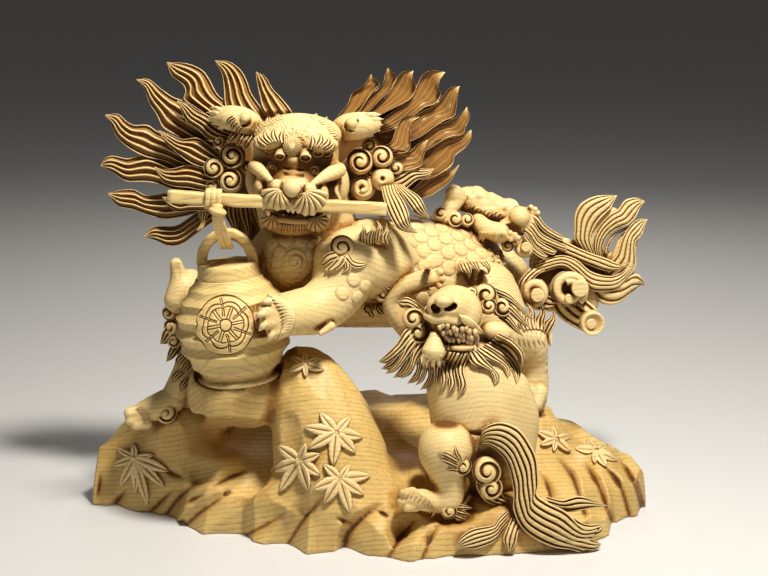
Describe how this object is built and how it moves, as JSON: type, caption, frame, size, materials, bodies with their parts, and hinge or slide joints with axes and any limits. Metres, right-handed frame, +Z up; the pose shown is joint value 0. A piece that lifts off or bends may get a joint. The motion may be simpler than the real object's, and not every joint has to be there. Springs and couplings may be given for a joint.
{
  "type": "carved lion statue",
  "caption": "Carved wooden temple lion on a rock, gripping a bar in its mouth and a ribbed lantern in its paw, with cubs and maple leaves; stands on its flat base.",
  "frame": {"origin": "middle of the flat underside of the rock base", "axes": "+Z up, +X along the length from the lantern to the tail, -Y to the front that the lion looks out of"},
  "size_m": [0.4622, 0.26, 0.3626],
  "materials": {
    "lion_wood": "satin",
    "rock_wood": "satin",
    "lantern_wood": "satin",
    "dowel_wood": "matte"
  },
  "bodies": {
    "root": {"back_cub_body": "lion_wood", "back_cub_foreleg": "lion_wood", "back_cub_head": "lion_wood", "back_cub_hindleg": "lion_wood", "front_cub_arm": "lion_wood", "front_cub_body": "lion_wood", "front_cub_head": "lion_wood", "front_cub_leg": "lion_wood", "front_cub_mane_left": "lion_wood", "front_cub_mane_right": "lion_wood", "front_cub_tail": "lion_wood", "front_cub_tail_curls": "lion_wood", "joint_dowels": "dowel_wood", "lantern_base_ring": "lantern_wood", "lantern_body": "lantern_wood", "lantern_cap": "lantern_wood", "lantern_hoop": "lantern_wood", "left_cub_body": "lion_wood", "left_cub_foot": "lion_wood", "left_cub_head": "lion_wood", "lion_ear_left": "lion_wood", "lion_ear_right": "lion_wood", "lion_foreleg_left": "lion_wood", "lion_foreleg_right": "lion_wood", "lion_head": "lion_wood", "lion_hindleg_left": "lion_wood", "lion_hindleg_right": "lion_wood", "lion_lower_jaw": "lion_wood", "lion_neck": "lion_wood", "lion_tail": "lion_wood", "lion_tail_curls": "lion_wood", "lion_torso": "lion_wood", "mane_curls_left": "lion_wood", "mane_curls_right": "lion_wood", "mane_hanging_locks": "lion_wood", "mane_left_front": "lion_wood", "mane_left_rear": "lion_wood", "mane_right_front": "lion_wood", "mane_right_rear": "lion_wood", "maple_leaf_left": "lion_wood", "maple_leaf_lower": "lion_wood", "maple_leaf_middle": "lion_wood", "maple_leaf_right": "lion_wood", "maple_leaf_slope": "lion_wood", "maple_leaf_top": "lion_wood", "maple_leaf_upper": "lion_wood", "mouth_bar": "lantern_wood", "rock_base": "rock_wood", "rock_pillar": "rock_wood", "rock_shelf": "rock_wood", "small_dowels": "dowel_wood", "strap_knot": "lantern_wood"}
  },
  "joints": []
}
